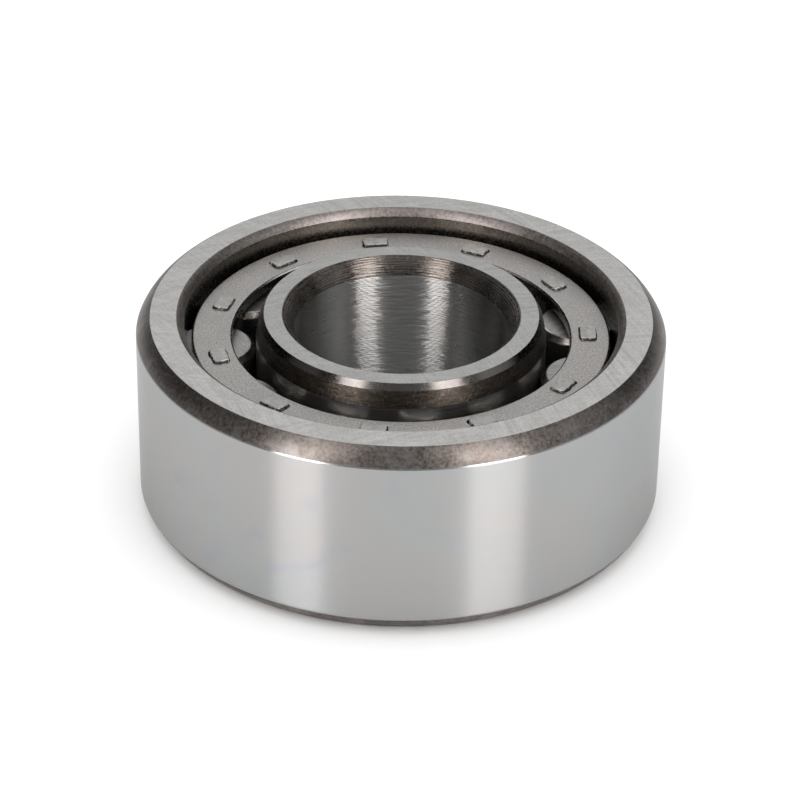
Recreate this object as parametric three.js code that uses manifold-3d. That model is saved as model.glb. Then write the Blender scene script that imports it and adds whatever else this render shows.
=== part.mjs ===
// Cylindrical roller bearing, 25 x 62 x 24 mm: a ribbed outer ring, a plain inner ring and eleven rollers
// in a riveted steel cage. Millimetres. The origin is the bearing's centre and +Z is its axis of rotation.

import * as THREE from "three";
import { mergeVertices } from "three/addons/utils/BufferGeometryUtils.js";
import Module from "manifold-3d";

const wasm = await Module();
wasm.setup();

// Boundary dimensions
const BORE_DIAMETER = 25;
const OUTSIDE_DIAMETER = 62;
const WIDTH = 24;

// Rollers and raceways
const ROLLER_COUNT = 11;
const ROLLER_DIAMETER = 10;
const ROLLER_LENGTH = 15;
const ROLLER_CHAMFER = [0.65, 0.6]; // [radial, axial]
const INNER_RACEWAY_DIAMETER = 34;
const RUNNING_CLEARANCE = 0.02; // radial, between a roller and each raceway
const RIB_CLEARANCE = 0.1; // axial, between a roller's end and each rib
const FIRST_ROLLER_ANGLE = THREE.MathUtils.degToRad(17);

// Ring edges, as [radial, axial] sizes
const OUTER_RING_CHAMFER = [1.67, 2.1];
const RIB_CHAMFER = [0.9, 0.88];
const RIB_BORE_RADIUS = 25.35;
const RELIEF_GROOVE = [0.3, 0.5];
const BORE_CHAMFER = [1.47, 2.0];
const RACEWAY_CHAMFER = [0.52, 0.75];
const LEAD_IN = [0.4, 2.05]; // the taper from the chamfer to the raceway
const CHAMFER_CROWN = 0.16; // how far a turned chamfer bulges past its chord

// Cage
const PLATE_INNER_RADIUS = 19.79;
const PLATE_OUTER_RADIUS = 24.53;
const PLATE_THICKNESS = 1.5;
const PLATE_RECESS = 2.64; // from a ring face down to the plate
const PLATE_EDGE = 0.3;
const BAR_INNER_RADIUS = 20;
const BAR_OUTER_RADIUS = 24.2;
const BAR_CLEARANCE = 0.2; // between a bar's flank and a roller
const SHOULDER_CLEARANCE = 0.1; // between a bar's shoulder and a plate
const HEAD_RADIAL = 1.9; // the upset head, along the bearing's radius
const HEAD_WIDTH = 3.2;
const HEAD_MIDDLE_RADIUS = 21.9;
const HEAD_HEIGHT = 0.33;
const HEAD_CORNER = 0.35;
const TENON_ROOT = 0.15; // how deep a tenon starts inside its bar
const SLOT_CLEARANCE = 0.1; // round the head, in its slot in the plate
const SLOT_OVERRUN = 1; // how far a slot's cutter reaches past the plate

// Worked out from the above
const HALF_WIDTH = WIDTH / 2;
const ROLLER_RADIUS = ROLLER_DIAMETER / 2 - RUNNING_CLEARANCE;
const INNER_RACEWAY_RADIUS = INNER_RACEWAY_DIAMETER / 2;
const PITCH_RADIUS = (INNER_RACEWAY_DIAMETER + ROLLER_DIAMETER) / 2;
const OUTER_RACEWAY_RADIUS = PITCH_RADIUS + ROLLER_DIAMETER / 2;
const ROLLER_PITCH = (2 * Math.PI) / ROLLER_COUNT;
const FIRST_BAR_ANGLE = FIRST_ROLLER_ANGLE - ROLLER_PITCH / 2;
const PLATE_TOP = HALF_WIDTH - PLATE_RECESS;
const PLATE_BOTTOM = PLATE_TOP - PLATE_THICKNESS;
const SHOULDER_HEIGHT = PLATE_BOTTOM - SHOULDER_CLEARANCE;

// Facets
const RING_SEGMENTS = 96;
const ROLLER_SEGMENTS = 32;
const CROWN_STEPS = 4;
const FLANK_STEPS = 8;
const MERGE_TOLERANCE = 1e-4;

const GROUND_STEEL = { color: 0xa9a9ab, roughness: 0.3, metalness: 1 };
const RACEWAY_STEEL = { color: 0x9a9a9d, roughness: 0.25, metalness: 1 };
const PLATE_STEEL = { color: 0x8d8983, roughness: 0.55, metalness: 1 };
const BAR_STEEL = { color: 0x77726b, roughness: 0.6, metalness: 1 };
const ROLLER_STEEL = { color: 0xb0b0b2, roughness: 0.22, metalness: 1 };

const bearing = new THREE.Group();

function addPart(name, geometry, finish) {
  const mesh = new THREE.Mesh(geometry, new THREE.MeshStandardMaterial(finish));
  mesh.name = name;
  bearing.add(mesh);
  return mesh;
}

// Turns a closed [radius, height] outline, walked with the material on its left, about the Z axis.
function turned(outline, segments) {
  const points = outline.map(([radius, height]) => new THREE.Vector2(radius, height));
  const geometry = new THREE.LatheGeometry(points, segments);
  geometry.rotateX(Math.PI / 2);
  return closed(geometry);
}

// Merges shared vertices so that a geometry is one closed mesh of positions.
function closed(geometry) {
  geometry.deleteAttribute("normal");
  geometry.deleteAttribute("uv");
  return mergeVertices(geometry, MERGE_TOLERANCE);
}

function toSolid(geometry) {
  const merged = closed(geometry);
  return new wasm.Manifold(
    new wasm.Mesh({
      numProp: 3,
      vertProperties: new Float32Array(merged.attributes.position.array),
      triVerts: new Uint32Array(merged.index.array),
    }),
  );
}

function toGeometry(solid) {
  const mesh = solid.getMesh();
  const geometry = new THREE.BufferGeometry();
  geometry.setAttribute("position", new THREE.BufferAttribute(new Float32Array(mesh.vertProperties), 3));
  geometry.setIndex(new THREE.BufferAttribute(new Uint32Array(mesh.triVerts), 1));
  geometry.computeVertexNormals();
  return geometry;
}

// Points from one corner to another along a shallow arc that bulges by CHAMFER_CROWN.
// The bulge is to the right of the direction of travel.
function crowned([r0, z0], [r1, z1]) {
  const length = Math.hypot(r1 - r0, z1 - z0);
  const points = [];
  for (let step = 0; step <= CROWN_STEPS; step++) {
    const t = step / CROWN_STEPS;
    const bulge = CHAMFER_CROWN * 4 * t * (1 - t);
    const r = r0 + (r1 - r0) * t + (bulge * (z1 - z0)) / length;
    const z = z0 + (z1 - z0) * t - (bulge * (r1 - r0)) / length;
    points.push([r, z]);
  }
  return points;
}

// The outline of a half above Z = 0, followed by its mirror image below.
function mirroredOutline(upperHalf) {
  const lowerHalf = upperHalf.map(([radius, height]) => [radius, -height]).reverse();
  return [...upperHalf, ...lowerHalf, upperHalf[0]];
}

function outerRing() {
  const outside = OUTSIDE_DIAMETER / 2;
  const [edgeRadial, edgeAxial] = OUTER_RING_CHAMFER;
  const [ribRadial, ribAxial] = RIB_CHAMFER;
  const [grooveDepth, grooveWidth] = RELIEF_GROOVE;
  const ribInside = ROLLER_LENGTH / 2 + RIB_CLEARANCE;
  // Wide enough that the flats of the faceted raceway clear the rollers.
  const raceway = OUTER_RACEWAY_RADIUS / Math.cos(Math.PI / RING_SEGMENTS);
  const upperHalf = [
    ...crowned([outside, HALF_WIDTH - edgeAxial], [outside - edgeRadial, HALF_WIDTH]),
    [RIB_BORE_RADIUS + ribRadial, HALF_WIDTH],
    [RIB_BORE_RADIUS, HALF_WIDTH - ribAxial],
    [RIB_BORE_RADIUS, ribInside],
    [raceway + grooveDepth, ribInside],
    [raceway, ribInside - grooveWidth],
  ];
  return turned(mirroredOutline(upperHalf), RING_SEGMENTS);
}

function innerRing() {
  const bore = BORE_DIAMETER / 2;
  const [edgeRadial, edgeAxial] = BORE_CHAMFER;
  const [chamferRadial, chamferAxial] = RACEWAY_CHAMFER;
  const [leadRadial, leadAxial] = LEAD_IN;
  const faceEdge = INNER_RACEWAY_RADIUS - leadRadial - chamferRadial;
  const upperHalf = [
    [INNER_RACEWAY_RADIUS, HALF_WIDTH - chamferAxial - leadAxial],
    [INNER_RACEWAY_RADIUS - leadRadial, HALF_WIDTH - chamferAxial],
    [faceEdge, HALF_WIDTH],
    ...crowned([bore + edgeRadial, HALF_WIDTH], [bore, HALF_WIDTH - edgeAxial]),
  ];
  return turned(mirroredOutline(upperHalf), RING_SEGMENTS);
}

// A plate lies with its outer side up; its slots take the heads of the bars.
function cagePlate() {
  const inner = PLATE_INNER_RADIUS;
  const outer = PLATE_OUTER_RADIUS;
  const plate = turned(
    [
      [inner + PLATE_EDGE, PLATE_BOTTOM],
      [outer - PLATE_EDGE, PLATE_BOTTOM],
      [outer, PLATE_BOTTOM + PLATE_EDGE],
      [outer, PLATE_TOP - PLATE_EDGE],
      [outer - PLATE_EDGE, PLATE_TOP],
      [inner + PLATE_EDGE, PLATE_TOP],
      [inner, PLATE_TOP - PLATE_EDGE],
      [inner, PLATE_BOTTOM + PLATE_EDGE],
      [inner + PLATE_EDGE, PLATE_BOTTOM],
    ],
    RING_SEGMENTS,
  );
  let solid = toSolid(plate);
  for (let index = 0; index < ROLLER_COUNT; index++) {
    const slot = headBlock(SLOT_CLEARANCE, PLATE_BOTTOM - SLOT_OVERRUN, PLATE_TOP + SLOT_OVERRUN);
    slot.rotateZ(FIRST_BAR_ANGLE + index * ROLLER_PITCH);
    solid = solid.subtract(toSolid(slot));
  }
  return toGeometry(solid);
}

// The rectangle of a bar's head, grown all round by a margin, between two heights, on the +X side.
function headBlock(margin, bottom, top) {
  const halfRadial = HEAD_RADIAL / 2 + margin;
  const halfWidth = HEAD_WIDTH / 2 + margin;
  const corner = HEAD_CORNER + margin;
  const outline = new THREE.Shape();
  outline.moveTo(HEAD_MIDDLE_RADIUS - halfRadial + corner, -halfWidth);
  outline.lineTo(HEAD_MIDDLE_RADIUS + halfRadial - corner, -halfWidth);
  outline.lineTo(HEAD_MIDDLE_RADIUS + halfRadial, -halfWidth + corner);
  outline.lineTo(HEAD_MIDDLE_RADIUS + halfRadial, halfWidth - corner);
  outline.lineTo(HEAD_MIDDLE_RADIUS + halfRadial - corner, halfWidth);
  outline.lineTo(HEAD_MIDDLE_RADIUS - halfRadial + corner, halfWidth);
  outline.lineTo(HEAD_MIDDLE_RADIUS - halfRadial, halfWidth - corner);
  outline.lineTo(HEAD_MIDDLE_RADIUS - halfRadial, -halfWidth + corner);
  const block = new THREE.ExtrudeGeometry(outline, { depth: top - bottom, bevelEnabled: false });
  block.translate(0, 0, bottom);
  return closed(block);
}

// The waisted web of a bar: its two flanks are hollowed to follow the rollers beside it.
function barWeb() {
  const flankRadius = ROLLER_DIAMETER / 2 + BAR_CLEARANCE;
  const rollerX = PITCH_RADIUS * Math.cos(ROLLER_PITCH / 2);
  const rollerY = PITCH_RADIUS * Math.sin(ROLLER_PITCH / 2);
  const flank = [];
  for (let step = 0; step <= FLANK_STEPS; step++) {
    const x = BAR_INNER_RADIUS + ((BAR_OUTER_RADIUS - BAR_INNER_RADIUS) * step) / FLANK_STEPS;
    const reach = Math.sqrt(flankRadius ** 2 - (x - rollerX) ** 2);
    flank.push(new THREE.Vector2(x, rollerY - reach));
  }
  const mirrored = flank.map((point) => new THREE.Vector2(point.x, -point.y));
  const outline = new THREE.Shape([...mirrored, ...flank.reverse()]);
  const web = new THREE.ExtrudeGeometry(outline, { depth: 2 * SHOULDER_HEIGHT, bevelEnabled: false });
  web.translate(0, 0, -SHOULDER_HEIGHT);
  return closed(web);
}

// A stay bar: the web, with a tenon and its upset head through each plate.
function cageBar() {
  const root = SHOULDER_HEIGHT - TENON_ROOT;
  const tip = PLATE_TOP + HEAD_HEIGHT;
  const upperTenon = toSolid(headBlock(0, root, tip));
  const lowerTenon = toSolid(headBlock(0, -tip, -root));
  return toGeometry(toSolid(barWeb()).add(upperTenon).add(lowerTenon));
}

function roller() {
  const half = ROLLER_LENGTH / 2;
  const [chamferRadial, chamferAxial] = ROLLER_CHAMFER;
  return turned(
    [
      [0, -half],
      [ROLLER_RADIUS - chamferRadial, -half],
      [ROLLER_RADIUS, -half + chamferAxial],
      [ROLLER_RADIUS, half - chamferAxial],
      [ROLLER_RADIUS - chamferRadial, half],
      [0, half],
    ],
    ROLLER_SEGMENTS,
  );
}

addPart("outer_ring", outerRing(), GROUND_STEEL);
addPart("inner_ring", innerRing(), RACEWAY_STEEL);
addPart("cage_top_plate", cagePlate(), PLATE_STEEL);
// Turned over, then turned about Z so that its slots meet the bars.
addPart("cage_bottom_plate", cagePlate(), PLATE_STEEL).rotation.set(Math.PI, 0, -2 * FIRST_BAR_ANGLE);

for (let index = 0; index < ROLLER_COUNT; index++) {
  const number = String(index + 1).padStart(2, "0");
  const angle = FIRST_ROLLER_ANGLE + index * ROLLER_PITCH;
  const rollerMesh = addPart(`roller_${number}`, roller(), ROLLER_STEEL);
  rollerMesh.position.set(PITCH_RADIUS * Math.cos(angle), PITCH_RADIUS * Math.sin(angle), 0);
  rollerMesh.rotation.z = angle;
  const bar = addPart(`cage_bar_${number}`, cageBar(), BAR_STEEL);
  bar.rotation.z = FIRST_BAR_ANGLE + index * ROLLER_PITCH;
}

export default bearing;
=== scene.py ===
"""The looks of the cylindrical roller bearing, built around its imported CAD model. Metres, +Z up.

Each CAD node gets a finer piece in its place, made from the node's own radii and heights: the rings, rollers
and plates are turned again with rounded edges, and the bars get rough heads. The surface of a piece is split
into the finishes that the real one has, such as ground, turned and oxidised, pressed, or torn.
"""

import math

import bmesh
import bpy
from mathutils import Matrix, Vector, noise


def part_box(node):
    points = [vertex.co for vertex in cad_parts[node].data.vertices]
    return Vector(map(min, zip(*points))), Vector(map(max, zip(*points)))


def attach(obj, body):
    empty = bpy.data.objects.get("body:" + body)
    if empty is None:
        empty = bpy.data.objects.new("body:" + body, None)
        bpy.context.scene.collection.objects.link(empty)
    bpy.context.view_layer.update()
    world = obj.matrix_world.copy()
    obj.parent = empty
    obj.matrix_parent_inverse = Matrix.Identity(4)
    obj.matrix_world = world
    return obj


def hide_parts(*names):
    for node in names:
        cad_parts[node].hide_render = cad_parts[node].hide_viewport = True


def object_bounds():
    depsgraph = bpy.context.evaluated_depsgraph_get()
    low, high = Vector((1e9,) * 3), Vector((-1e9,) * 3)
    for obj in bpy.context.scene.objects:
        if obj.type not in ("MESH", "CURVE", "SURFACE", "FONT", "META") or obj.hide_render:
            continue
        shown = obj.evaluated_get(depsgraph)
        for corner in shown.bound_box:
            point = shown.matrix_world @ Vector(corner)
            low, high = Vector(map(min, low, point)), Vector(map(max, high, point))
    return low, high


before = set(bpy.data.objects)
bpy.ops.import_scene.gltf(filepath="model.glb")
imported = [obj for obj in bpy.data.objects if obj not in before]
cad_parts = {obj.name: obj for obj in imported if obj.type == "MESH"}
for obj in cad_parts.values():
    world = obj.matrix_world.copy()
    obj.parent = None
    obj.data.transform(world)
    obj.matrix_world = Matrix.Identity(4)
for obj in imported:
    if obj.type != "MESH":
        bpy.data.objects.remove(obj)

CAD_LOW, CAD_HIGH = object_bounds()

MM = 0.001
MICRON = 0.001 * MM
ROLLER_COUNT = sum(1 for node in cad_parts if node.startswith("roller_"))
NUMBERS = range(1, ROLLER_COUNT + 1)  # of the rollers, and of the bars between them
ROLLER_PITCH = 2 * math.pi / ROLLER_COUNT


# ---------------------------------------------------------------- sizes read from the frame

DECIMALS = 5  # of a metre, so radii and heights are read to 0.01 mm
LEVEL = 0.02 * MM  # corners of a turned node closer than this are at the same radius or height
EXTREME = 0.01 * MM  # vertices closer than this to the highest or widest one are level with it
CLEAR = 0.1 * MM  # corners at least this far from a height are away from it


def turned_points(node):
    """The distinct (radius, height) pairs of a turned CAD node, in metres, smallest radius first."""
    pairs = set()
    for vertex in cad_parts[node].data.vertices:
        x, y, z = vertex.co
        pairs.add((round(math.hypot(x, y), DECIMALS), round(z, DECIMALS)))
    return sorted(pairs)


def radii_at(node, height):
    """Radii of a turned node's corners at a height, smallest first."""
    return sorted({r for r, z in turned_points(node) if abs(z - height) < LEVEL})


def heights_at(node, radius):
    """Heights of a turned node's corners at a radius, lowest first."""
    return sorted({z for r, z in turned_points(node) if abs(r - radius) < LEVEL})


def centre_of(node):
    """The middle of a node's box at rest."""
    low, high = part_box(node)
    return (low + high) / 2


# ---------------------------------------------------------------- node trees

RADIUS_SHARE = 0.83  # below 1, so that a pattern still changes along a chamfer of 45 degrees
ACROSS_THE_LAY = 0.25  # of a turn from the tangent


class Finish:
    """A procedural material: one Principled shader and the nodes that feed it."""

    def __init__(self, name, metallic=1.0):
        self.material = bpy.data.materials.new(name)
        self.material.use_nodes = True
        self.tree = self.material.node_tree
        self.shader = self.tree.nodes["Principled BSDF"]
        self.shader.inputs["Metallic"].default_value = metallic
        self.coordinates = self.node("ShaderNodeTexCoord").outputs["Object"]

    def node(self, kind, **settings):
        made = self.tree.nodes.new(kind)
        for key, value in settings.items():
            setattr(made, key, value)
        return made

    def feed(self, socket, value):
        """Links a node's output to a socket, or sets the socket to a number or colour."""
        if isinstance(value, bpy.types.NodeSocket):
            self.tree.links.new(value, socket)
        else:
            socket.default_value = value

    def maths(self, operation, *values):
        made = self.node("ShaderNodeMath", operation=operation)
        for socket, value in zip(made.inputs, values):
            self.feed(socket, value)
        return made.outputs[0]

    def vector(self, x, y, z):
        made = self.node("ShaderNodeCombineXYZ")
        for socket, value in zip(made.inputs, (x, y, z)):
            self.feed(socket, value)
        return made.outputs[0]

    def noise(self, vector, scale=1.0, detail=2.0, rough=0.5, distortion=0.0):
        """A cloudy pattern from 0 to 1."""
        made = self.node("ShaderNodeTexNoise")
        self.feed(made.inputs["Vector"], vector)
        made.inputs["Scale"].default_value = scale
        made.inputs["Detail"].default_value = detail
        made.inputs["Roughness"].default_value = rough
        made.inputs["Distortion"].default_value = distortion
        return made.outputs["Fac"]

    def spots(self, vector, scale):
        """Distance to the nearest of many scattered points."""
        made = self.node("ShaderNodeTexVoronoi", feature="F1")
        self.feed(made.inputs["Vector"], vector)
        made.inputs["Scale"].default_value = scale
        return made.outputs["Distance"]

    def ridges(self, vector, distortion):
        """Sharp parallel ridges across the vector's Z, one every 0.31 units."""
        made = self.node("ShaderNodeTexWave", bands_direction="Z", wave_profile="TRI")
        self.feed(made.inputs["Vector"], vector)
        made.inputs["Scale"].default_value = 1.0
        made.inputs["Distortion"].default_value = distortion
        made.inputs["Detail"].default_value = 1.0
        made.inputs["Detail Scale"].default_value = 2.5
        return made.outputs["Fac"]

    def ramp(self, value, low, high, start=0.0, end=1.0):
        """Maps value from low..high to start..end, clamped."""
        made = self.node("ShaderNodeMapRange", clamp=True)
        for socket, number in zip(made.inputs, (value, low, high, start, end)):
            self.feed(socket, number)
        return made.outputs["Result"]

    def mix(self, factor, first, second):
        """A colour from first, at factor 0, to second, at factor 1."""
        made = self.node("ShaderNodeMix", data_type="RGBA")
        self.feed(made.inputs["Factor"], factor)
        for socket, value in ((made.inputs[6], first), (made.inputs[7], second)):
            self.feed(socket, value if isinstance(value, bpy.types.NodeSocket) else (*value, 1))
        return made.outputs[2]

    def around_axis(self, along, across, centre=(0.0, 0.0)):
        """Coordinates that stretch a pattern along circles round a centre, which is in metres. along is the
        radius of the circle that each of them becomes, and across is the units per metre of height."""
        split = self.node("ShaderNodeSeparateXYZ")
        self.feed(split.inputs[0], self.coordinates)
        x = self.maths("SUBTRACT", split.outputs[0], centre[0])
        y = self.maths("SUBTRACT", split.outputs[1], centre[1])
        square = self.maths("ADD", self.maths("MULTIPLY", x, x), self.maths("MULTIPLY", y, y))
        radius = self.maths("SQRT", square)
        cosine = self.maths("DIVIDE", x, radius)
        sine = self.maths("DIVIDE", y, radius)
        rise = self.maths("ADD", self.maths("MULTIPLY", radius, RADIUS_SHARE), split.outputs[2])
        return self.vector(
            self.maths("MULTIPLY", cosine, along),
            self.maths("MULTIPLY", sine, along),
            self.maths("MULTIPLY", rise, across),
        )

    def colour(self, value):
        self.feed(self.shader.inputs["Base Color"], value)

    def rough(self, value):
        self.feed(self.shader.inputs["Roughness"], value)

    def bump(self, height, depth):
        """Adds a bump of a depth in metres to the ones that the shader already has."""
        made = self.node("ShaderNodeBump")
        made.inputs["Strength"].default_value = 1.0
        made.inputs["Distance"].default_value = depth
        self.feed(made.inputs["Height"], height)
        previous = self.shader.inputs["Normal"]
        if previous.is_linked:
            self.feed(made.inputs["Normal"], previous.links[0].from_socket)
        self.feed(previous, made.outputs["Normal"])

    def brushed(self, amount):
        """Gloss that spreads across the circular lay, as on a ground or turned surface."""
        tangent = self.node("ShaderNodeTangent", direction_type="RADIAL", axis="Z")
        self.feed(self.shader.inputs["Tangent"], tangent.outputs[0])
        self.shader.inputs["Anisotropic"].default_value = amount
        self.shader.inputs["Anisotropic Rotation"].default_value = ACROSS_THE_LAY


# ---------------------------------------------------------------- finishes of the rings


def ground_outside():
    """Cylindrically ground steel: fine rings, faintly tinted clouds, a few stains, tiny pits and ripples."""
    finish = Finish("ground_outside")
    lines = finish.noise(finish.around_axis(2.5, 6500), detail=3, rough=0.6)
    clouds = finish.noise(finish.coordinates, scale=60, detail=4, rough=0.6, distortion=0.8)
    plain = finish.mix(lines, (0.377, 0.379, 0.372), (0.395, 0.395, 0.387))
    tinted = finish.mix(finish.ramp(clouds, 0.4, 0.62), (0.4, 0.387, 0.383), (0.373, 0.39, 0.397))
    toned = finish.mix(0.6, plain, tinted)
    stains = finish.noise(finish.coordinates, scale=130, detail=5, rough=0.7, distortion=1.4)
    finish.colour(finish.mix(finish.ramp(stains, 0.57, 0.75, 0, 0.6), toned, (0.32, 0.34, 0.4)))
    finish.rough(finish.ramp(lines, 0.3, 0.7, 0.24, 0.26))
    finish.bump(lines, 0.5 * MICRON)
    pits = finish.ramp(finish.spots(finish.coordinates, scale=600), 0.02, 0.1)
    finish.bump(pits, 4 * MICRON)
    ripple = finish.noise(finish.coordinates, scale=700, distortion=0.5)
    finish.bump(ripple, 3.5 * MICRON)
    # A metal's colour where it is seen at a grazing angle.
    finish.shader.inputs["Specular Tint"].default_value = (0.75, 0.75, 0.75, 1)
    finish.brushed(1.0)
    return finish.material


def ground_face(name, dark, light):
    """A face ground between wheels: long faint arcs that cross, over a fine grain."""
    finish = Finish(name)
    first_arcs = finish.around_axis(16, 3000, centre=(-0.11, -0.06))
    second_arcs = finish.around_axis(16, 2600, centre=(0.05, -0.13))
    first = finish.noise(first_arcs, detail=4, rough=0.7)
    second = finish.noise(second_arcs, detail=4, rough=0.7)
    share = finish.ramp(finish.noise(finish.coordinates, scale=70), 0.35, 0.65)
    rest = finish.maths("SUBTRACT", 1.0, share)
    lay = finish.maths(
        "ADD", finish.maths("MULTIPLY", first, share), finish.maths("MULTIPLY", second, rest)
    )
    grain = finish.noise(finish.coordinates, scale=5200, rough=0.6)
    clouds = finish.noise(finish.coordinates, scale=190, detail=3, rough=0.6)
    streaked = finish.mix(finish.ramp(lay, 0.38, 0.62), dark, light)
    grained = finish.mix(finish.ramp(grain, 0.35, 0.65), dark, light)
    ground = finish.mix(0.45, streaked, grained)
    wide = finish.noise(finish.around_axis(70, 1500, centre=(0.02, 0.3)), distortion=0.8)
    tone = finish.mix(finish.ramp(wide, 0.5, 0.72, 0, 0.45), ground, light)
    finish.colour(finish.mix(finish.ramp(clouds, 0.45, 0.75, 0, 0.35), tone, (0.42, 0.405, 0.385)))
    finish.rough(finish.ramp(lay, 0.3, 0.7, 0.3, 0.4))
    finish.bump(lay, 25 * MICRON)
    finish.bump(grain, 8 * MICRON)
    return finish.material


def outer_face():
    """The flat faces of the outer ring, the brighter of the two rings."""
    return ground_face("outer_face", dark=(0.345, 0.342, 0.333), light=(0.635, 0.63, 0.616))


def inner_face():
    """The flat faces of the inner ring."""
    return ground_face("inner_face", dark=(0.29, 0.29, 0.283), light=(0.51, 0.51, 0.5))


def oxide(name, dark, light, rubbed, rough, brushed, line_depth, grain_depth, ridge_depth=0):
    """Turned, hardened and unground steel: a brown scale with grain, tool lines and rubbed patches. A ridge
    depth adds coarser tool ridges."""
    finish = Finish(name)
    grain = finish.noise(finish.coordinates, scale=2600, detail=4, rough=0.7)
    patches = finish.noise(finish.coordinates, scale=300, detail=4, rough=0.7)
    rings = finish.noise(finish.around_axis(3, 2300), rough=0.6)
    scale = finish.mix(finish.ramp(grain, 0.32, 0.68), dark, light)
    ringed = finish.mix(finish.ramp(rings, 0.55, 0.75, 0, 0.4), scale, dark)
    finish.colour(finish.mix(finish.ramp(patches, 0.5, 0.72, 0, 0.6), ringed, rubbed))
    finish.rough(finish.ramp(grain, 0.35, 0.65, rough - 0.05, rough + 0.08))
    finish.bump(rings, line_depth)
    if ridge_depth:
        finish.bump(finish.ridges(finish.around_axis(2.4, 800), distortion=3), ridge_depth)
    finish.bump(grain, grain_depth)
    finish.brushed(brushed)
    return finish.material


def outer_chamfer():
    """The crowned chamfer between the outside and a face of the outer ring."""
    return oxide(
        "outer_chamfer",
        dark=(0.07, 0.059, 0.052),
        light=(0.2, 0.181, 0.169),
        rubbed=(0.28, 0.267, 0.257),
        rough=0.39,
        brushed=0.8,
        line_depth=12 * MICRON,
        grain_depth=8 * MICRON,
    )


def rim_chamfer():
    """The slope from a face of the outer ring down to the bore of its rib."""
    return oxide(
        "rim_chamfer",
        dark=(0.13, 0.115, 0.108),
        light=(0.32, 0.292, 0.278),
        rubbed=(0.33, 0.31, 0.3),
        rough=0.46,
        brushed=0.5,
        line_depth=30 * MICRON,
        grain_depth=6 * MICRON,
    )


def rib_bore():
    """The bore of a rib, its side towards the rollers and the groove beside that."""
    return oxide(
        "rib_bore",
        dark=(0.1, 0.088, 0.074),
        light=(0.185, 0.167, 0.146),
        rubbed=(0.2, 0.185, 0.167),
        rough=0.26,
        brushed=0.5,
        line_depth=8 * MICRON,
        grain_depth=3 * MICRON,
    )


def bore_mouth():
    """The rounded mouth of the bore, with the marks of the turning tool."""
    return oxide(
        "bore_mouth",
        dark=(0.088, 0.076, 0.068),
        light=(0.175, 0.16, 0.147),
        rubbed=(0.185, 0.174, 0.164),
        rough=0.28,
        brushed=1.0,
        line_depth=20 * MICRON,
        grain_depth=MICRON,
        ridge_depth=35 * MICRON,
    )


def inner_chamfer():
    """The slope between a face of the inner ring and its lead-in cone."""
    return oxide(
        "inner_chamfer",
        dark=(0.1, 0.093, 0.087),
        light=(0.142, 0.135, 0.129),
        rubbed=(0.152, 0.146, 0.14),
        rough=0.24,
        brushed=0.9,
        line_depth=6 * MICRON,
        grain_depth=MICRON,
    )


def lead_in():
    """A turned cone: fine rings under the mottled trace of a polishing belt."""
    finish = Finish("lead_in")
    rings = finish.noise(finish.around_axis(8, 3800), detail=3, rough=0.7)
    belt = finish.noise(finish.around_axis(60, 3200), detail=3, rough=0.6, distortion=0.8)
    tone = finish.mix(finish.ramp(rings, 0.35, 0.7), (0.05, 0.045, 0.036), (0.12, 0.1, 0.085))
    finish.colour(finish.mix(finish.ramp(belt, 0.55, 0.7, 0, 0.7), tone, (0.2, 0.17, 0.145)))
    finish.rough(finish.ramp(belt, 0.3, 0.7, 0.28, 0.42))
    finish.bump(rings, 40 * MICRON)
    finish.bump(belt, 30 * MICRON)
    finish.brushed(0.9)
    return finish.material


def raceway():
    """A honed track with a soft shine."""
    finish = Finish("raceway")
    lines = finish.noise(finish.around_axis(4, 9000))
    finish.rough(finish.ramp(lines, 0.3, 0.7, 0.27, 0.34))
    finish.colour(finish.mix(lines, (0.34, 0.34, 0.33), (0.42, 0.42, 0.41)))
    finish.bump(lines, 0.8 * MICRON)
    finish.brushed(0.5)
    return finish.material


def ground_bore():
    """Internally ground steel: rings with a slight chatter, glossier than the faces."""
    finish = Finish("ground_bore")
    lines = finish.noise(finish.around_axis(5, 3600), rough=0.6)
    finish.colour(finish.mix(finish.ramp(lines, 0.2, 0.8), (0.24, 0.24, 0.235), (0.32, 0.32, 0.315)))
    finish.rough(finish.ramp(lines, 0.2, 0.8, 0.26, 0.34))
    finish.bump(finish.ridges(finish.around_axis(2.6, 1750), distortion=2.5), 50 * MICRON)
    finish.brushed(1.0)
    return finish.material


# ---------------------------------------------------------------- finishes of the cage and rollers


def pressed_plate():
    """Stamped and tumbled plate steel, matt with a fine grain."""
    finish = Finish("pressed_plate")
    grain = finish.noise(finish.coordinates, scale=4600, detail=3, rough=0.7)
    clouds = finish.noise(finish.coordinates, scale=260, detail=4, rough=0.65)
    tone = finish.mix(finish.ramp(grain, 0.35, 0.65), (0.3, 0.288, 0.28), (0.65, 0.633, 0.617))
    finish.colour(finish.mix(finish.ramp(clouds, 0.45, 0.75, 0, 0.6), tone, (0.40, 0.39, 0.385)))
    finish.rough(finish.ramp(grain, 0.3, 0.7, 0.44, 0.58))
    finish.bump(grain, 20 * MICRON)
    return finish.material


def fine_grained(name, scale, dark, light, rough, depth):
    """Plain worked steel with an even, fine grain. rough is its least and most roughness."""
    finish = Finish(name)
    grain = finish.noise(finish.coordinates, scale=scale, detail=3, rough=0.6)
    finish.colour(finish.mix(grain, dark, light))
    finish.rough(finish.ramp(grain, 0.3, 0.7, *rough))
    finish.bump(grain, depth)
    return finish.material


def plate_edge():
    """The tumbled, shining edge of a side plate."""
    return fine_grained(
        "plate_edge",
        scale=3000,
        dark=(0.38, 0.37, 0.36),
        light=(0.6, 0.59, 0.58),
        rough=(0.18, 0.3),
        depth=5 * MICRON,
    )


def plate_wall():
    """The sheared wall of a side plate, burnished. Its colour, darker than the face's, is partly the wall's
    own steel and partly painted shade of the narrow gaps that it faces.
    """
    # Painted shade: the dark colours stand partly for the shade in the gaps beside the plate's walls.
    return fine_grained(
        "plate_wall",
        scale=2600,
        dark=(0.12, 0.115, 0.11),
        light=(0.24, 0.232, 0.225),
        rough=(0.22, 0.34),
        depth=4 * MICRON,
    )


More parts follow.
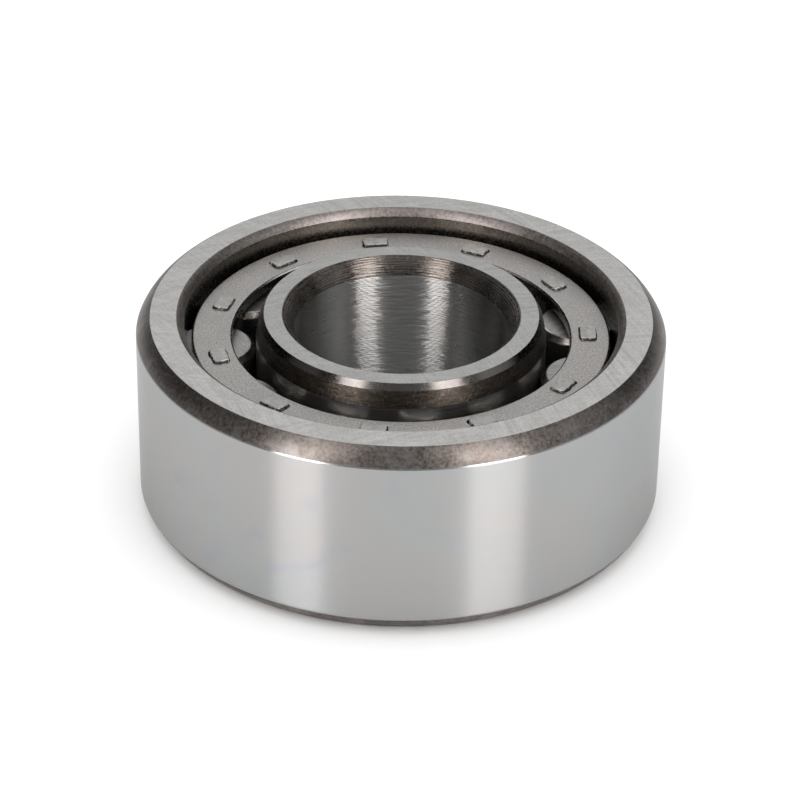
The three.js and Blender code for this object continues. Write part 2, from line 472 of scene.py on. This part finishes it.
def bar_web():
    """A drawn bar between the rollers, dull with a fine grain."""
    return fine_grained(
        "bar_web",
        scale=2600,
        dark=(0.19, 0.18, 0.17),
        light=(0.32, 0.305, 0.29),
        rough=(0.4, 0.52),
        depth=6 * MICRON,
    )


def upset_head():
    """The pressed top of a rivet head, with shallow dents."""
    finish = Finish("upset_head")
    dents = finish.noise(finish.coordinates, scale=1500, detail=4, rough=0.7)
    finish.colour(finish.mix(finish.ramp(dents, 0.3, 0.7), (0.33, 0.325, 0.313), (0.6, 0.592, 0.575)))
    finish.rough(finish.ramp(dents, 0.3, 0.7, 0.4, 0.56))
    finish.bump(dents, 30 * MICRON)
    return finish.material


def shaded_torn_edge():
    """The torn side of a rivet head, with bright flecks. Its near-black colour is partly dark oxide and
    partly painted shade along the head's side.
    """
    finish = Finish("shaded_torn_edge", metallic=0.3)
    tears = finish.noise(finish.coordinates, scale=3000, detail=3, rough=0.7)
    # Painted shade: the near-black ground colour stands partly for the shade along the head's side, below its
    # lighter top.
    finish.colour(finish.mix(finish.ramp(tears, 0.52, 0.64), (0.03, 0.026, 0.023), (0.5, 0.485, 0.47)))
    finish.rough(0.7)
    finish.bump(tears, 50 * MICRON)
    return finish.material


def roller_track():
    """A roller's lapped side."""
    finish = Finish("roller_track")
    lines = finish.noise(finish.around_axis(2, 9000))
    finish.rough(finish.ramp(lines, 0.3, 0.7, 0.2, 0.28))
    finish.colour(finish.mix(lines, (0.38, 0.38, 0.37), (0.46, 0.46, 0.45)))
    finish.bump(lines, 0.6 * MICRON)
    finish.brushed(0.6)
    return finish.material


def roller_corner():
    """A roller's turned and tumbled corner."""
    finish = Finish("roller_corner")
    grain = finish.noise(finish.coordinates, scale=3400, rough=0.6)
    rings = finish.noise(finish.around_axis(2, 7000), rough=0.6)
    tone = finish.mix(rings, (0.08, 0.073, 0.066), (0.2, 0.187, 0.175))
    finish.colour(finish.mix(finish.ramp(grain, 0.45, 0.75, 0, 0.6), tone, (0.15, 0.135, 0.12)))
    finish.rough(finish.ramp(grain, 0.3, 0.7, 0.24, 0.34))
    finish.bump(rings, 8 * MICRON)
    finish.brushed(0.4)
    return finish.material


def roller_edge():
    """The polished edge between a roller's corner and its end."""
    finish = Finish("roller_edge")
    rings = finish.noise(finish.around_axis(2, 9000))
    finish.colour(finish.mix(rings, (0.4, 0.39, 0.38), (0.62, 0.61, 0.6)))
    finish.rough(0.24)
    finish.bump(rings, MICRON)
    return finish.material


def roller_end():
    """A roller's ground end, with arcs from the grinding wheel."""
    finish = Finish("roller_end")
    arcs = finish.noise(finish.around_axis(10, 4200, centre=(0.021, 0.009)), detail=3, rough=0.6)
    finish.colour(finish.mix(finish.ramp(arcs, 0.3, 0.7), (0.25, 0.246, 0.238), (0.45, 0.444, 0.434)))
    finish.rough(finish.ramp(arcs, 0.3, 0.7, 0.36, 0.46))
    finish.bump(arcs, 3 * MICRON)
    return finish.material


FINISHES = {
    make.__name__: make()
    for make in (
        ground_outside,
        outer_face,
        inner_face,
        outer_chamfer,
        rim_chamfer,
        rib_bore,
        bore_mouth,
        inner_chamfer,
        lead_in,
        raceway,
        ground_bore,
        pressed_plate,
        plate_edge,
        plate_wall,
        upset_head,
        shaded_torn_edge,
        bar_web,
        roller_track,
        roller_corner,
        roller_edge,
        roller_end,
    )
}


# ---------------------------------------------------------------- turned shapes

RING_SEGMENTS = 288
ROLLER_SEGMENTS = 96
EDGE_STEPS = 4
CROWN_STEPS = 14

# Edge radii, from the keenest to the softest.
SHARP = 0.05 * MM
BROKEN = 0.12 * MM
CONE_EDGE = 0.15 * MM
BLUNT = 0.2 * MM
ROLLER_CORNER = 0.3 * MM
TRACK_END = 0.4 * MM

CROWN = 0.2 * MM  # how far a chamfer bulges
POLISHED = 0.09 * MM  # how far a roller's polished edge reaches on either side of the corner
MARKS_TURN = 2.1  # radians between the grinding marks of one roller and the next
ON_AXIS = 0.001 * MM  # points with a smaller radius are on the axis
WELD = 0.0001 * MM  # points closer than this become one
SHARPEST_SMOOTH = math.radians(40)
FACE_WEIGHT = 90  # of 100: how much a large face steers the shading at its corners


def crown(start, end, bulge, finish):
    """Corners along a shallow arc from start to end, which stands out by the bulge in its middle. A positive
    bulge is to the right of the way."""
    start, end = Vector(start), Vector(end)
    side = Vector((end.y - start.y, start.x - end.x)).normalized()
    corners = []
    for step in range(1, CROWN_STEPS):
        share = step / CROWN_STEPS
        # 4 * share * (1 - share) is 1 in the middle and 0 at both ends.
        point = start.lerp(end, share) + side * bulge * 4 * share * (1 - share)
        corners.append((point.x, point.y, 0.0, finish))
    return corners


def softened(corners):
    """An outline's points as [(point, finish)]. Each corner is (radius, height, edge radius, finish of the
    side that starts there). A point just before and just after each rounded corner, at most a third of the
    way to the next corner, keeps the sides flat."""
    outline = []
    for index, (radius, height, edge, finish) in enumerate(corners):
        here = Vector((radius, height))
        if not edge:
            outline.append((here, finish))
            continue
        side = corners[index - 1][3]
        before = Vector(corners[index - 1][:2]) - here
        after = Vector(corners[(index + 1) % len(corners)][:2]) - here
        half = before.angle(after) / 2
        tangent = edge / math.tan(half)
        hold_before = tangent + min(edge, (before.length - tangent) / 3)
        hold_after = tangent + min(edge, (after.length - tangent) / 3)
        before.normalize()
        after.normalize()
        centre = here + (before + after).normalized() * edge / math.sin(half)
        start = here + before * tangent - centre
        turn = math.copysign(math.pi - 2 * half, before.x * after.y - before.y * after.x)
        outline.append((here + before * hold_before, side))
        for step in range(EDGE_STEPS + 1):
            arm = Matrix.Rotation(-turn * step / EDGE_STEPS, 2) @ start
            outline.append((centre + arm, side if step < EDGE_STEPS / 2 else finish))
        outline.append((here + after * hold_after, finish))
    return outline


def both_halves(upper, closing):
    """An outline's corners above the middle plane, then their mirror image below. closing is the finish
    of the side that joins the last corner to the first."""
    lower = []
    for index in range(len(upper) - 1, -1, -1):
        radius, height, edge, _ = upper[index]
        lower.append((radius, -height, edge, upper[index - 1][3] if index else closing))
    return upper + lower


def spin(name, outline, segments):
    """Turns a closed outline about the Z axis into a mesh object, with a material slot per finish."""
    finishes = sorted({finish for _, finish in outline})
    shape = bmesh.new()
    rings = []
    for turn in range(segments):
        angle = 2 * math.pi * turn / segments
        cosine, sine = math.cos(angle), math.sin(angle)
        rings.append([
            shape.verts.new((point.x * cosine, point.x * sine, point.y)) for point, _ in outline
        ])
    for turn in range(segments):
        here, there = rings[turn], rings[(turn + 1) % segments]
        for index, (point, finish) in enumerate(outline):
            following = (index + 1) % len(outline)
            if max(point.x, outline[following][0].x) < ON_AXIS:
                continue
            face = shape.faces.new((here[index], there[index], there[following], here[following]))
            face.material_index = finishes.index(finish)
    bmesh.ops.remove_doubles(shape, verts=shape.verts, dist=WELD)
    return finished(name, shape, finishes)


def finished(name, shape, finishes):
    """Makes a bmesh a smooth-shaded object with its material slots."""
    bmesh.ops.recalc_face_normals(shape, faces=shape.faces)
    for face in shape.faces:
        face.smooth = True
    keep_sharp(shape)
    mesh = bpy.data.meshes.new(name)
    shape.to_mesh(mesh)
    shape.free()
    for finish in finishes:
        mesh.materials.append(FINISHES[finish])
    piece = bpy.data.objects.new(name, mesh)
    bpy.context.scene.collection.objects.link(piece)
    return piece


def keep_sharp(shape):
    """Marks the edges that are too steep to shade as round."""
    for edge in shape.edges:
        edge.smooth = edge.calc_face_angle(0) < SHARPEST_SMOOTH


def steady_normals(piece):
    """Keeps large faces flat to the eye beside their finely rounded edges."""
    weighted = piece.modifiers.new("steady_normals", "WEIGHTED_NORMAL")
    weighted.mode = "FACE_AREA"
    weighted.weight = FACE_WEIGHT
    weighted.keep_sharp = True


def stand_in(piece, node, body):
    """Puts a piece in the place of its CAD node and on a body, with steady normals."""
    steady_normals(piece)
    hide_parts(node)
    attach(piece, body)


def outer_ring():
    """The outer ring, with its two ribs and the raceway and grooves between them."""
    points = turned_points("outer_ring")
    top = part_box("outer_ring")[1].z
    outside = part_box("outer_ring")[1].x
    shoulder = heights_at("outer_ring", outside)[-1]
    face_inner, face_outer = radii_at("outer_ring", top)
    rib = points[0][0]
    rib_low, rib_high = heights_at("outer_ring", rib)[-2:]
    groove = radii_at("outer_ring", rib_low)[-1]
    track = min(r for r, z in points if abs(z) < rib_low - CLEAR)
    track_end = heights_at("outer_ring", track)[-1]
    upper = [
        (outside, shoulder, BLUNT, "ground_outside"),
        *crown((outside, shoulder), (face_outer, top), CROWN, "outer_chamfer"),
        (face_outer, top, BROKEN, "outer_face"),
        (face_inner, top, SHARP, "rim_chamfer"),
        *crown((face_inner, top), (rib, rib_high), CROWN / 2, "rim_chamfer"),
        (rib, rib_high, BLUNT, "rib_bore"),
        (rib, rib_low, SHARP, "rib_bore"),
        (groove, rib_low, 0, "rib_bore"),
        (track, track_end, 0, "raceway"),
    ]
    piece = spin("outer_ring_turning", softened(both_halves(upper, "ground_outside")), RING_SEGMENTS)
    stand_in(piece, "outer_ring", "outer_ring")


def inner_ring():
    """The inner ring: a plain raceway, and at each end a lead-in cone, a chamfer and a rounded bore mouth."""
    points = turned_points("inner_ring")
    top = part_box("inner_ring")[1].z
    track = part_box("inner_ring")[1].x
    track_end = heights_at("inner_ring", track)[-1]
    bore = points[0][0]
    bore_end = heights_at("inner_ring", bore)[-1]
    face_inner, face_outer = radii_at("inner_ring", top)
    cone = max(r for r, z in points if track_end + CLEAR < z < top - CLEAR)
    cone_top = heights_at("inner_ring", cone)[-1]
    upper = [
        (track, track_end, TRACK_END, "lead_in"),
        (cone, cone_top, CONE_EDGE, "inner_chamfer"),
        (face_outer, top, SHARP, "inner_face"),
        (face_inner, top, SHARP, "bore_mouth"),
        *crown((face_inner, top), (bore, bore_end), CROWN, "bore_mouth"),
        (bore, bore_end, BROKEN, "ground_bore"),
    ]
    piece = spin("inner_ring_turning", softened(both_halves(upper, "raceway")), RING_SEGMENTS)
    stand_in(piece, "inner_ring", "inner_ring")


def roller_sizes():
    """A roller's radius, its flat end's radius, and the heights of its shoulder and its end."""
    low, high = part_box("roller_01")
    middle = (low + high) / 2
    points = [v.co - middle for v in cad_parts["roller_01"].data.vertices]
    radius = max(p.xy.length for p in points)
    end = high.z
    flat = max(p.xy.length for p in points if p.z > end - EXTREME)
    shoulder = max(p.z for p in points if p.xy.length > radius - EXTREME)
    return radius, flat, shoulder, end


ROLLER_RADIUS, ROLLER_FLAT, ROLLER_SHOULDER, ROLLER_END = roller_sizes()
PITCH_RADIUS = centre_of("roller_01").xy.length


def roller(number):
    """A roller with chamfered corners, and a narrow polished edge round each end."""
    node = f"roller_{number:02d}"
    shoulder = Vector((ROLLER_RADIUS, ROLLER_SHOULDER))
    flat = Vector((ROLLER_FLAT, ROLLER_END))
    edge = flat + (shoulder - flat).normalized() * POLISHED
    upper = [
        (*shoulder, ROLLER_CORNER, "roller_corner"),
        (*edge, SHARP, "roller_edge"),
        (ROLLER_FLAT - POLISHED, ROLLER_END, SHARP, "roller_end"),
        (0.0, ROLLER_END, 0, "roller_end"),
    ]
    piece = spin(f"{node}_turning", softened(both_halves(upper, "roller_track")), ROLLER_SEGMENTS)
    piece.location = centre_of(node)
    piece.rotation_euler.z = number * MARKS_TURN
    stand_in(piece, node, node)


# ---------------------------------------------------------------- cage


def head_sizes():
    """A bar head's middle radius and its half sizes along and across the bearing's radius."""
    node = "cage_bar_01"
    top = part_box(node)[1].z
    tips = [v.co.copy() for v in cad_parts[node].data.vertices if v.co.z > top - EXTREME]
    middle = sum(tips, Vector()) / len(tips)
    straight = Matrix.Rotation(-math.atan2(middle.y, middle.x), 3, "Z")
    along = [(straight @ tip).x for tip in tips]
    across = [(straight @ tip).y for tip in tips]
    return (min(along) + max(along)) / 2, (max(along) - min(along)) / 2, max(across)


HEAD_MIDDLE, HEAD_HALF_LENGTH, HEAD_HALF_WIDTH = head_sizes()
HEAD_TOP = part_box("cage_bar_01")[1].z
HEAD_CORNER = 0.35 * MM
PLATE_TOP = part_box("cage_top_plate")[1].z
PLATE_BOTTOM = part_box("cage_top_plate")[0].z
PLATE_INNER = turned_points("cage_top_plate")[0][0]
PLATE_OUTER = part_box("cage_top_plate")[1].x
PLATE_EDGE = 0.22 * MM  # how far a plate's tumbled corner reaches along each side
TINY = 1e-9  # stands for zero in a division
OUTLINE_POINTS = 72
DIRECTIONS = [2 * math.pi * step / OUTLINE_POINTS for step in range(OUTLINE_POINTS)]

# A bar's web, between the plates.
WEB_CLEARANCE = 0.2 * MM  # to the rollers
WEB_MARGIN = 0.25 * MM  # to the plates' inner and outer edges
WEB_GAP = 0.05 * MM  # to the plates themselves
WEB_STEP = 0.01 * MM

# A bar's tenon and head, outside the web.
TENON_SLACK = 0.05 * MM
HEAD_LIFT = 0.01 * MM  # the head's foot is this far above the plate
FOOT_RAG = 0.08 * MM
# The rest of the head, from its foot up: the share of its height, how far it is drawn in, how ragged it is,
# and the finish of the side above.
HEAD_SECTIONS = (
    (0.4, 0.03 * MM, 0.12 * MM, "shaded_torn_edge"),
    (0.8, 0.04 * MM, 0.12 * MM, "upset_head"),
    (0.95, 0.07 * MM, 0.12 * MM, "upset_head"),
    (1.0, 0.15 * MM, 0.1 * MM, "upset_head"),
)
# The shallow dish in a head's top.
DISH_SHARE = 0.93
DISH_INSET = 0.6 * MM
DISH_CORNER = 0.1 * MM

# The noise that makes a head's outline ragged: its teeth round the outline, its change from bar to bar, and
# its change for each millimetre of height.
RAG_TEETH = 4
RAG_PER_BAR = 3.1
RAG_PER_MM = 0.8

# A slot reaches past its head's outline by the gap at most, and by the least share of it everywhere. Its
# tears come from noise, which is made stronger and changes from bar to bar.
SLOT_GAP = 0.22 * MM
LEAST_TEAR = 0.4
TEAR_GAIN = 3
TEAR_PER_BAR = 5.3


def bar_angle(number):
    """Where a bar is round the bearing: half a pitch before the roller of its number."""
    middle = centre_of(f"roller_{number:02d}")
    return math.atan2(middle.y, middle.x) - ROLLER_PITCH / 2


def rectangle_reach(direction, half_length, half_width, corner):
    """How far a rectangle with round corners reaches from its middle in a direction."""
    cosine, sine = abs(math.cos(direction)), abs(math.sin(direction))
    reach = min(half_length / max(cosine, TINY), half_width / max(sine, TINY))
    x, y = reach * cosine, reach * sine
    inner_x, inner_y = half_length - corner, half_width - corner
    if x > inner_x and y > inner_y:
        along = inner_x * cosine + inner_y * sine
        off = inner_x * sine - inner_y * cosine
        return along + math.sqrt(max(corner**2 - off**2, 0))
    return reach


def drawn_in(inset, corner=HEAD_CORNER):
    """How far a head's outline, drawn in on all sides, reaches in each direction."""
    half_length = HEAD_HALF_LENGTH - inset
    half_width = HEAD_HALF_WIDTH - inset
    return [rectangle_reach(direction, half_length, half_width, corner) for direction in DIRECTIONS]


def web_reach(direction):
    """How far a bar's waisted web reaches from the head's middle in a direction, by stepping outwards. It is
    the same on both sides, so it is stopped by one roller and by the plates' edges."""
    flank = ROLLER_RADIUS + WEB_CLEARANCE
    roller_x = PITCH_RADIUS * math.cos(ROLLER_PITCH / 2) - HEAD_MIDDLE
    roller_y = PITCH_RADIUS * math.sin(ROLLER_PITCH / 2)
    limit_in = HEAD_MIDDLE - PLATE_INNER - WEB_MARGIN
    limit_out = PLATE_OUTER - WEB_MARGIN - HEAD_MIDDLE
    reach = 0.0
    while True:
        x = (reach + WEB_STEP) * math.cos(direction)
        y = abs((reach + WEB_STEP) * math.sin(direction))
        beyond = x > limit_out or x < -limit_in
        if beyond or math.hypot(x - roller_x, y - roller_y) < flank:
            return reach
        reach += WEB_STEP


def bar_sections():
    """The sections of a bar's upper half, from the web up: (height, reach in each direction, raggedness,
    finish of the side above)."""
    web = [web_reach(direction) for direction in DIRECTIONS]
    web_end = PLATE_BOTTOM - WEB_GAP
    tenon = drawn_in(TENON_SLACK)
    foot = PLATE_TOP + HEAD_LIFT
    head = HEAD_TOP - PLATE_TOP
    return [
        (web_end, web, 0.0, "bar_web"),
        (web_end, tenon, 0.0, "bar_web"),
        (foot, tenon, 0.0, "bar_web"),
        (foot, drawn_in(0.0), FOOT_RAG, "shaded_torn_edge"),
        *(
            (PLATE_TOP + head * share, drawn_in(inset), rag, finish)
            for share, inset, rag, finish in HEAD_SECTIONS
        ),
        (PLATE_TOP + head * DISH_SHARE, drawn_in(DISH_INSET, DISH_CORNER), 0.0, "upset_head"),
    ]


def bridge(shape, lower, upper):
    """The ring of faces between two loops of as many vertices."""
    count = len(lower)
    corners = ((index, (index + 1) % count) for index in range(count))
    return [shape.faces.new((lower[a], lower[b], upper[b], upper[a])) for a, b in corners]


def bar(number, upper):
    """A stay bar: a waisted web with, at each end, a tenon and the rough head upset from it."""
    lower = [(-height, reaches, rag, finish) for height, reaches, rag, finish in reversed(upper)]
    going_up = [finish for _, _, _, finish in upper[:-1]]
    finishes_between = going_up[::-1] + ["bar_web"] + going_up
    finishes = ["bar_web", "shaded_torn_edge", "upset_head"]
    shape = bmesh.new()
    loops = []
    for height, reaches, rag, _ in lower + upper:
        loop = []
        for direction, reach in zip(DIRECTIONS, reaches):
            x = math.cos(direction)
            y = math.sin(direction)
            level = number * RAG_PER_BAR + height / MM * RAG_PER_MM
            reach += rag * noise.noise(Vector((x * RAG_TEETH, y * RAG_TEETH, level)))
            loop.append(shape.verts.new((HEAD_MIDDLE + reach * x, reach * y, height)))
        loops.append(loop)
    for loop, following, finish in zip(loops, loops[1:], finishes_between):
        for face in bridge(shape, loop, following):
            face.material_index = finishes.index(finish)
    for cap in (loops[0][::-1], loops[-1]):
        shape.faces.new(cap).material_index = finishes.index("upset_head")
    turn = Matrix.Rotation(bar_angle(number), 3, "Z")
    bmesh.ops.rotate(shape, verts=shape.verts, matrix=turn)
    node = f"cage_bar_{number:02d}"
    piece = finished(f"{node}_forging", shape, finishes)
    stand_in(piece, node, "cage")


def slot_cutter():
    """The slots, as blocks that go right through both plates, each torn a little wider in places."""
    shape = bmesh.new()
    for number in NUMBERS:
        turn = Matrix.Rotation(bar_angle(number), 3, "Z")
        loops = []
        for height in (-2 * PLATE_TOP, 2 * PLATE_TOP):
            loop = []
            for direction, reach in zip(DIRECTIONS, drawn_in(0.0)):
                x = math.cos(direction)
                y = math.sin(direction)
                torn = TEAR_GAIN * noise.noise(Vector((x, y, number * TEAR_PER_BAR)))
                reach += SLOT_GAP * min(max(torn, LEAST_TEAR), 1)
                flat = Vector((HEAD_MIDDLE + reach * x, reach * y, height))
                loop.append(shape.verts.new(turn @ flat))
            loops.append(loop)
        bridge(shape, *loops)
        shape.faces.new(loops[0][::-1])
        shape.faces.new(loops[1])
    return finished("slot_cutter", shape, ["plate_wall"])


def plate(node, cutter):
    """A side plate with tumbled edges and a slot for each bar's tenon."""
    low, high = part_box(node)
    inner, outer = turned_points(node)[0][0], high.x
    edge = PLATE_EDGE
    corners = [
        (inner, low.z + edge, edge, "plate_edge"),
        (inner + edge, low.z, edge, "pressed_plate"),
        (outer - edge, low.z, edge, "plate_edge"),
        (outer, low.z + edge, edge, "plate_wall"),
        (outer, high.z - edge, edge, "plate_edge"),
        (outer - edge, high.z, edge, "pressed_plate"),
        (inner + edge, high.z, edge, "plate_edge"),
        (inner, high.z - edge, edge, "plate_wall"),
    ]
    piece = spin(f"{node}_pressing", softened(corners), RING_SEGMENTS)
    cut = piece.modifiers.new("slots", "BOOLEAN")
    cut.operation = "DIFFERENCE"
    cut.solver = "EXACT"
    cut.object = cutter
    made = bpy.data.meshes.new_from_object(piece.evaluated_get(bpy.context.evaluated_depsgraph_get()))
    piece.modifiers.clear()
    shape = bmesh.new()
    shape.from_mesh(made)
    keep_sharp(shape)
    shape.to_mesh(made)
    shape.free()
    piece.data = made
    stand_in(piece, node, "cage")


def cage():
    """The two side plates and the bars that hold them apart."""
    cutter = slot_cutter()
    for node in ("cage_top_plate", "cage_bottom_plate"):
        plate(node, cutter)
    bpy.data.objects.remove(cutter)
    sections = bar_sections()
    for number in NUMBERS:
        bar(number, sections)


# ---------------------------------------------------------------- studio

WHITE = (1, 1, 1)
WARM = (1.0, 0.955, 0.94)
PALE = (0.9, 0.9, 0.9, 1)
FLOOR_REACH = 12.0
SKY = 1.45


def camera():
    """Looks down at the bearing from the front, with a long lens and a slight roll."""
    elevation = math.radians(31.41)
    distance = 369.5 * MM
    roll = Matrix.Rotation(math.radians(0.959), 4, "Z")
    made = bpy.data.cameras.new("camera")
    made.lens = 140.0
    made.clip_start = 0.01
    made.clip_end = 20.0
    eye = bpy.data.objects.new("camera", made)
    back = Vector((0, -math.cos(elevation), math.sin(elevation)))
    eye.location = back * distance
    eye.rotation_euler = ((-back).to_track_quat("-Z", "Y").to_matrix().to_4x4() @ roll).to_euler()
    bpy.context.scene.collection.objects.link(eye)
    bpy.context.scene.camera = eye


def floor():
    """A plain pale table."""
    finish = Finish("pale_floor", metallic=0.0)
    finish.colour(PALE)
    finish.rough(1.0)
    finish.shader.inputs["Specular IOR Level"].default_value = 0
    mesh = bpy.data.meshes.new("floor")
    signs = ((-1, -1), (1, -1), (1, 1), (-1, 1))
    corners = [(x * FLOOR_REACH, y * FLOOR_REACH, CAD_LOW.z) for x, y in signs]
    mesh.from_pydata(corners, [], [(0, 1, 2, 3)])
    mesh.materials.append(finish.material)
    made = bpy.data.objects.new("floor", mesh)
    bpy.context.scene.collection.objects.link(made)


def softbox(name, azimuth, elevation, distance, width, height, radiance, tint=WHITE, upright=False):
    """A rectangular light that only metal reflects. Azimuth 0 is in front and 90 to the right. It faces
    the bearing, or stands upright on the table."""
    light = bpy.data.lights.new(name, "AREA")
    light.shape = "RECTANGLE"
    light.size = width
    light.size_y = height
    light.energy = radiance * math.pi * width * height
    light.color = tint
    made = bpy.data.objects.new(name, light)
    a, e = math.radians(azimuth), math.radians(elevation)
    back = Vector((math.sin(a) * math.cos(e), -math.cos(a) * math.cos(e), math.sin(e)))
    made.location = back * distance
    if upright:
        made.location.z = CAD_LOW.z + height / 2
        back.z = 0
    made.rotation_euler = (-back).to_track_quat("-Z", "Y").to_euler()
    made.visible_diffuse = False
    made.visible_camera = False
    bpy.context.scene.collection.objects.link(made)


def studio():
    """Two tall warm softboxes in front, a panel behind, one above, dim fills, and an even white sky that
    lights the table."""
    strip = {
        "elevation": 0,
        "distance": 0.9,
        "height": 1.9,
        "radiance": 7.8,
        "tint": WARM,
        "upright": True,
    }
    softbox("left_strip", azimuth=-39.8, width=0.31, **strip)
    softbox("right_strip", azimuth=39.2, width=0.36, **strip)
    softbox("back_panel", azimuth=180, elevation=38, distance=1.0, width=1.1, height=0.6, radiance=1.1)
    softbox("front_fill", azimuth=0, elevation=46, distance=1.1, width=0.8, height=0.7, radiance=0.5)
    softbox("left_fill", azimuth=-84, elevation=38, distance=1.0, width=0.5, height=0.6, radiance=0.4)
    softbox("right_fill", azimuth=84, elevation=38, distance=1.0, width=0.6, height=0.6, radiance=1.3)
    softbox("top_panel", azimuth=0, elevation=88, distance=1.2, width=0.9, height=0.9, radiance=0.9)
    world = bpy.data.worlds.new("studio")
    bpy.context.scene.world = world
    world.use_nodes = True
    background = world.node_tree.nodes["Background"]
    background.inputs["Color"].default_value = (*WHITE, 1)
    background.inputs["Strength"].default_value = SKY
    world.cycles_visibility.glossy = False
    bpy.context.scene.view_settings.view_transform = "Standard"


camera()
outer_ring()
inner_ring()
for number in NUMBERS:
    roller(number)
cage()
floor()
studio()
